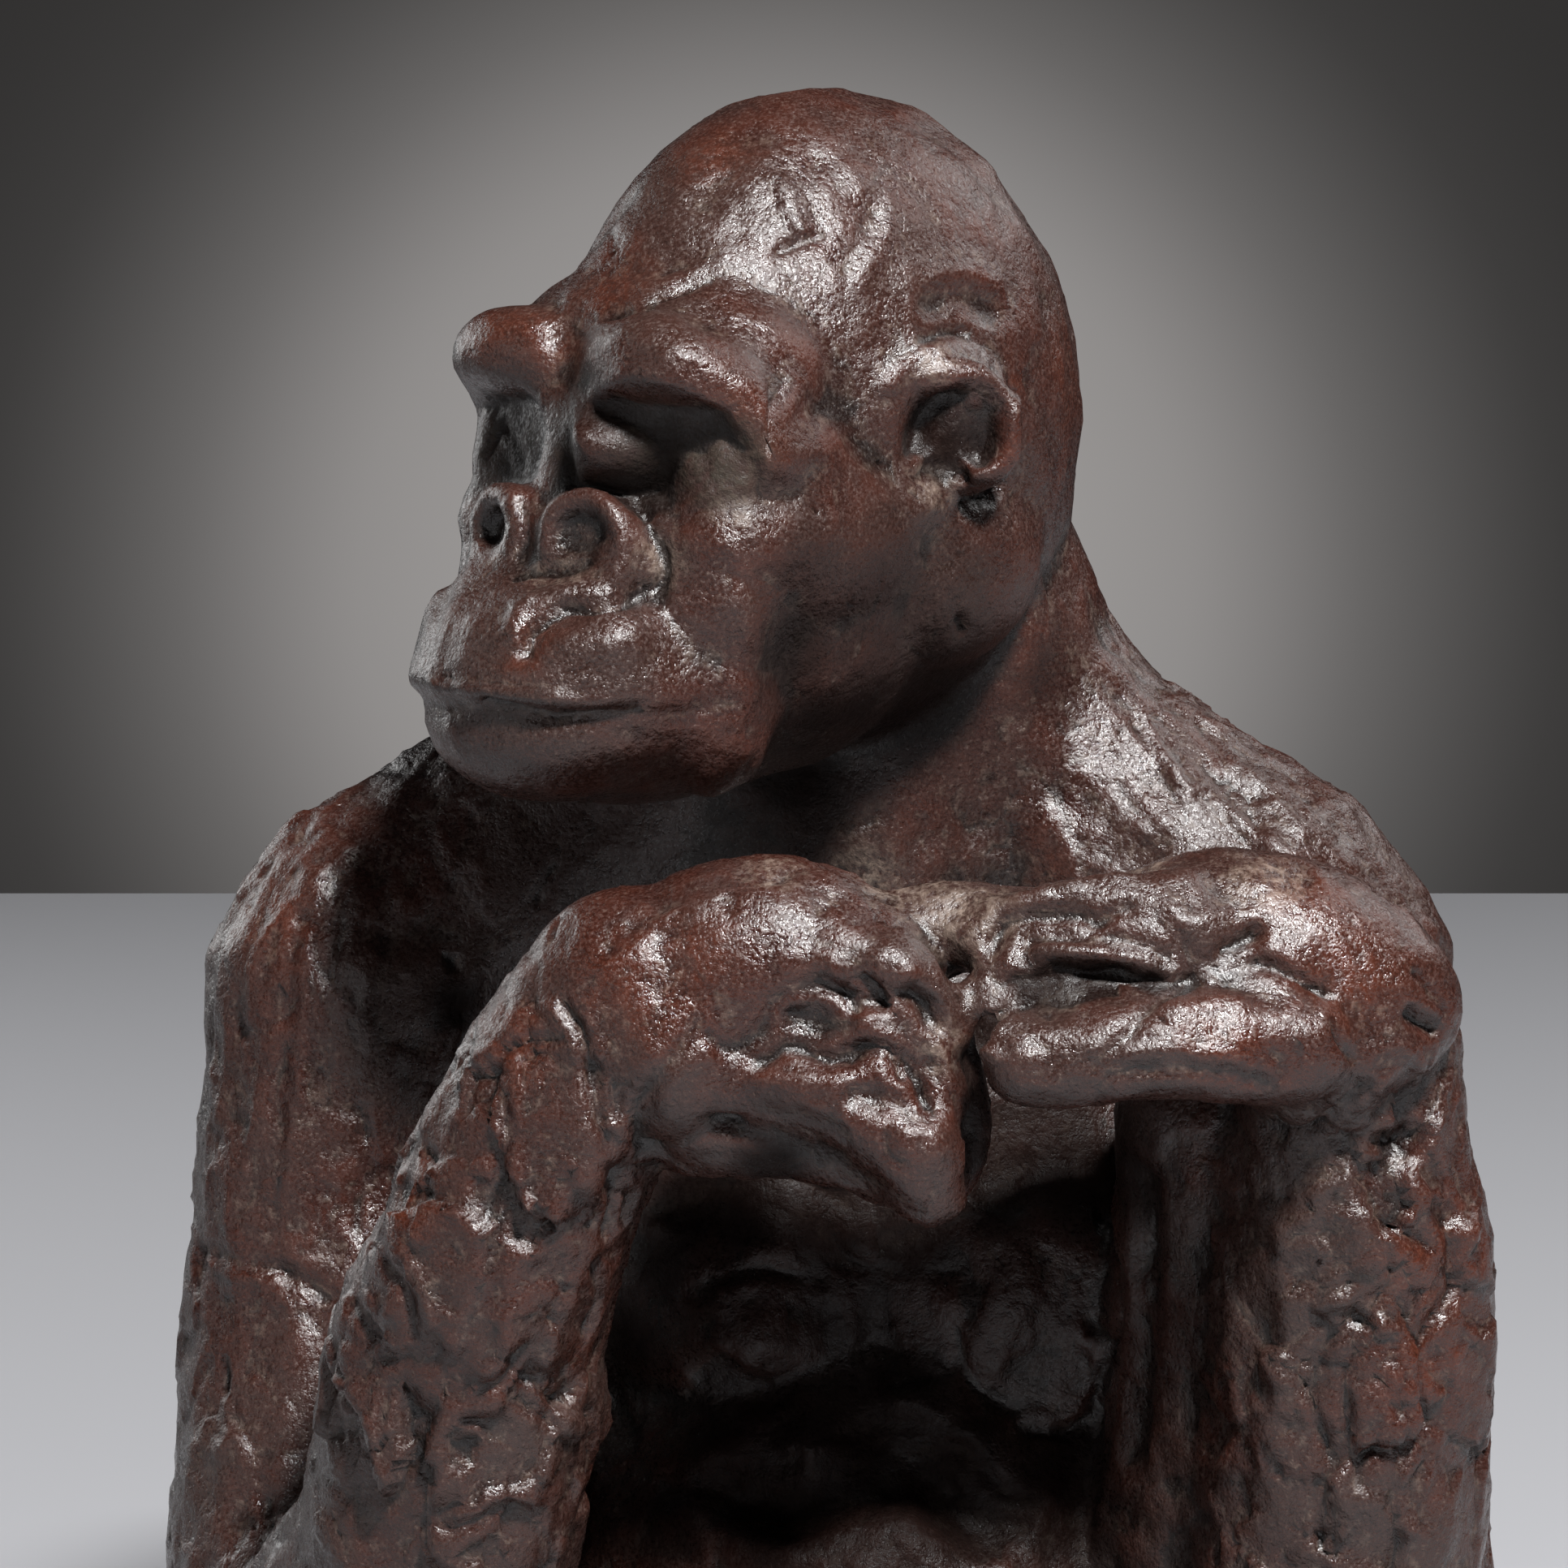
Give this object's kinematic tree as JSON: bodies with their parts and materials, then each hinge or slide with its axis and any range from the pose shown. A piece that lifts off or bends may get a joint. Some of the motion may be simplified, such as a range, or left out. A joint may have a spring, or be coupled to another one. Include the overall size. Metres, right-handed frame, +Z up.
{
  "type": "gorilla figurine",
  "caption": "Modelled figurine of a squatting gorilla, wrists bent together under the chin and the head turned aside, flat underneath to stand on a shelf.",
  "frame": {"origin": "on the flat underside, below the middle of the figure", "axes": "+Z up, -Y the way the chest faces, +X towards the figure's left; the head is turned to the figure's right"},
  "size_m": [0.24, 0.218, 0.35],
  "materials": {
    "patinated_clay": "satin"
  },
  "bodies": {
    "root": {"gorilla_figure": "patinated_clay"}
  },
  "joints": []
}
